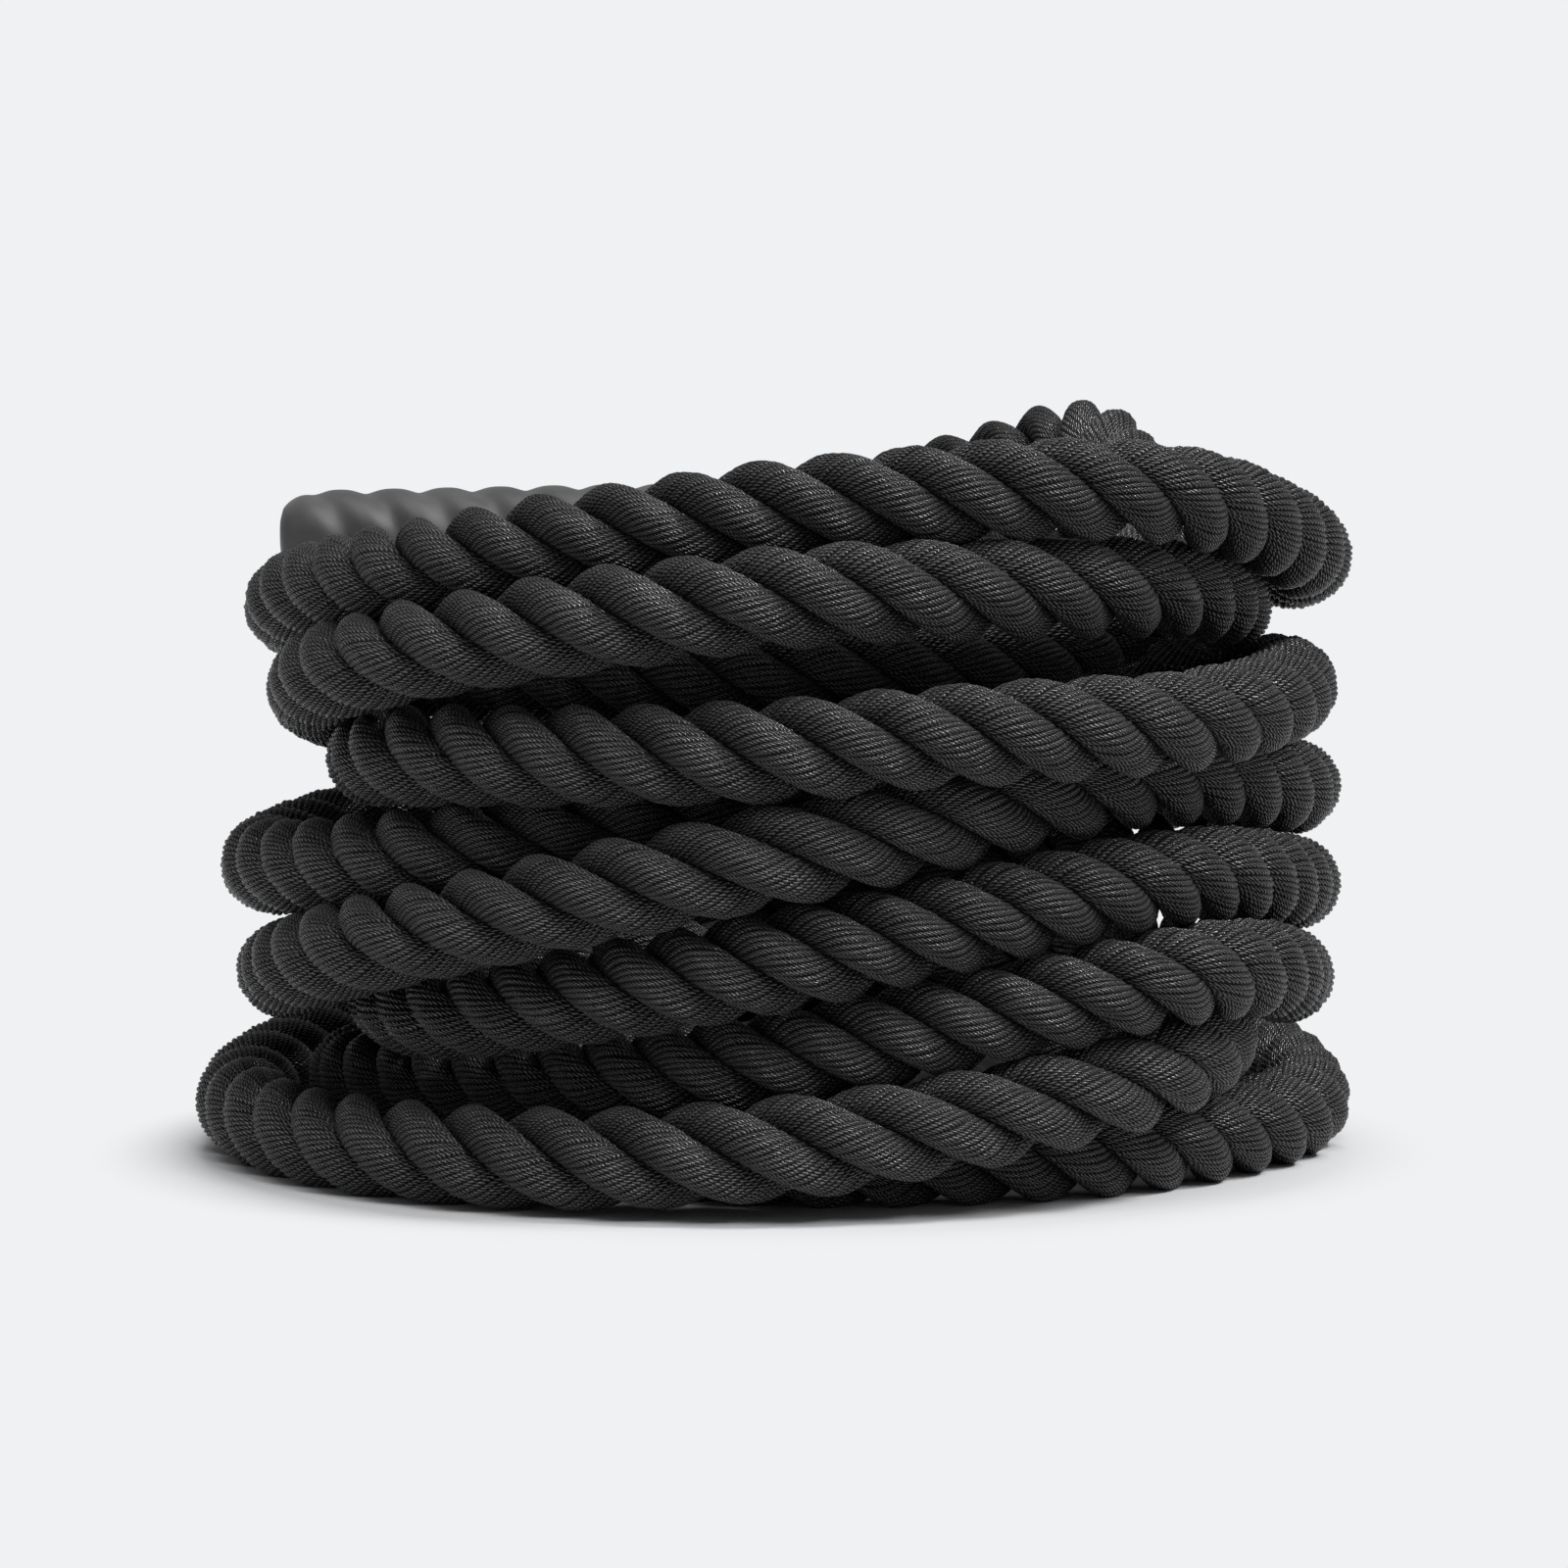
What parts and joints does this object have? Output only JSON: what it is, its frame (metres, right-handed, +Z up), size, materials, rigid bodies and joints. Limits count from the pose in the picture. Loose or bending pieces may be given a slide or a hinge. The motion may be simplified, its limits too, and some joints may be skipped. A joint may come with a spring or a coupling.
{
  "type": "battle rope",
  "caption": "Heavy three-strand training rope, coiled in a tall stack for storage, with a shrunk-on grip sleeve over each taped end.",
  "frame": {"origin": "middle of the coil's box on the floor that it stands on", "axes": "+Z up the stack of turns; the pictured front faces -Y, and the upper grip lies at the back left with its tip towards -X"},
  "size_m": [0.455, 0.4416, 0.2936],
  "materials": {
    "rope_fibre": "dark charcoal synthetic yarn, dull with small glints",
    "sleeve_plastic": "satin black shrunk-on sleeve",
    "binding_tape": "matte dark tape"
  },
  "bodies": {
    "root": {"rope": "rope_fibre", "inner_grip_sleeve": "sleeve_plastic", "outer_grip_sleeve": "sleeve_plastic", "inner_end_binding": "binding_tape", "outer_end_binding": "binding_tape"}
  },
  "joints": []
}
